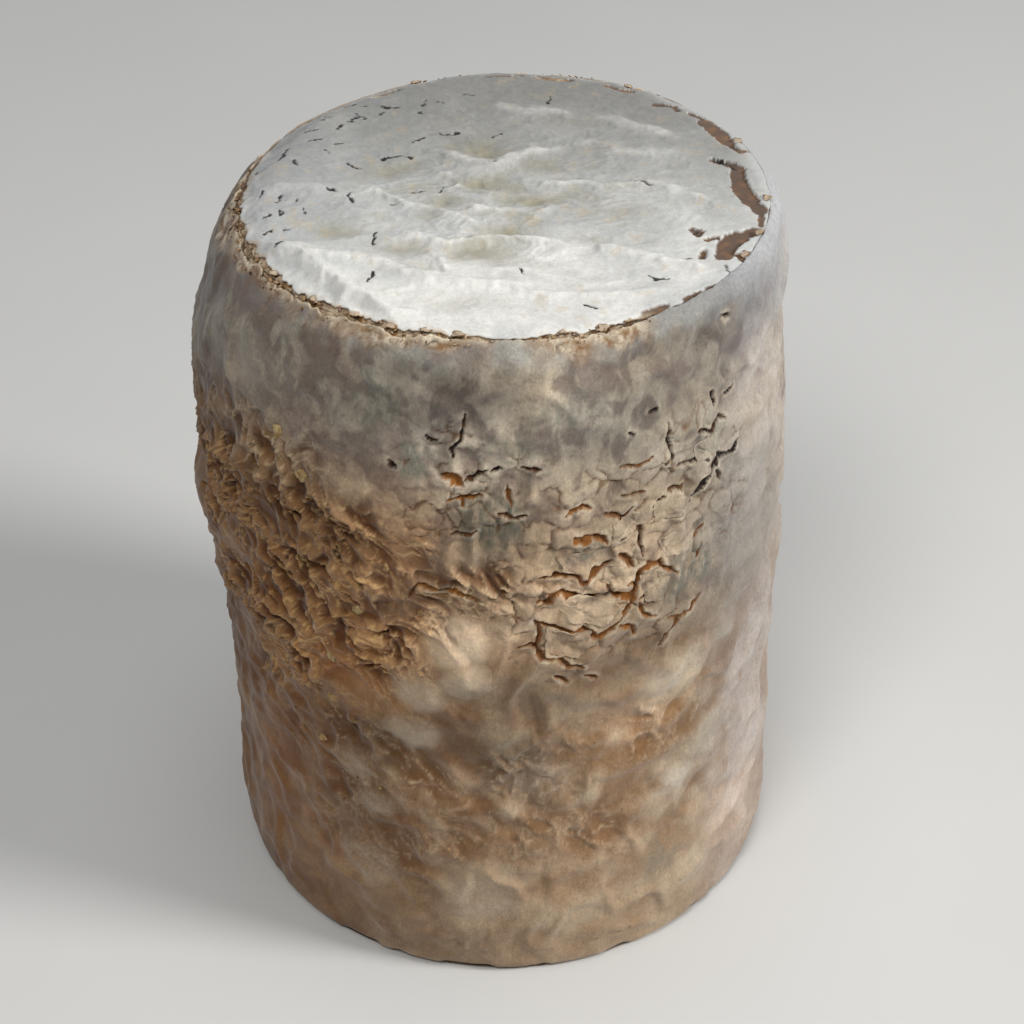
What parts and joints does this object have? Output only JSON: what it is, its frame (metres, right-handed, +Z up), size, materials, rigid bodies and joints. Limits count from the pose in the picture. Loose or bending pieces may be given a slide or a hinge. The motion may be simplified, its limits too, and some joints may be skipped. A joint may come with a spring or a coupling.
{
  "type": "mould-ripened cheese drum",
  "caption": "Small tall drum of mould-ripened cheese: white wrinkled top skin torn at the rim, cracked and blotched brown-grey side, flat base.",
  "frame": {"origin": "in the middle of the flat face that the drum stands on", "axes": "+Z up along the drum, -Y towards the front, which is the side with the crack network right of centre"},
  "size_m": [0.0704, 0.0712, 0.092],
  "materials": {
    "paste": "matte, chalky, faintly crumbly curd",
    "cream": "soft, moist and slightly translucent",
    "rind": "dry, matte brown rind with fine cracks",
    "side_skin": "velvety mould skin, blotched beige, ochre, brown and grey",
    "top_skin": "velvety white-grey mould skin with soft wrinkles",
    "base_skin": "flattened beige mould skin",
    "plate_skin": "dry pale skin with brown broken edges",
    "curd_knob": "waxy cream and ochre curd",
    "mould_tuft": "soft white fuzz",
    "dry_flake": "brittle cream flake with brown edges",
    "rind_crumb": "dry brown and ochre crumbs"
  },
  "bodies": {
    "root": {"paste_core": "paste", "creamline": "cream", "side_rind": "rind", "top_rind": "rind", "bottom_rind": "rind", "side_bloom": "side_skin", "top_bloom": "top_skin", "bottom_bloom": "base_skin", "crack_plates": "plate_skin", "curd_nodules": "curd_knob", "mould_puffs": "mould_tuft", "rim_flakes": "dry_flake", "rim_crumbs": "rind_crumb"}
  },
  "joints": []
}
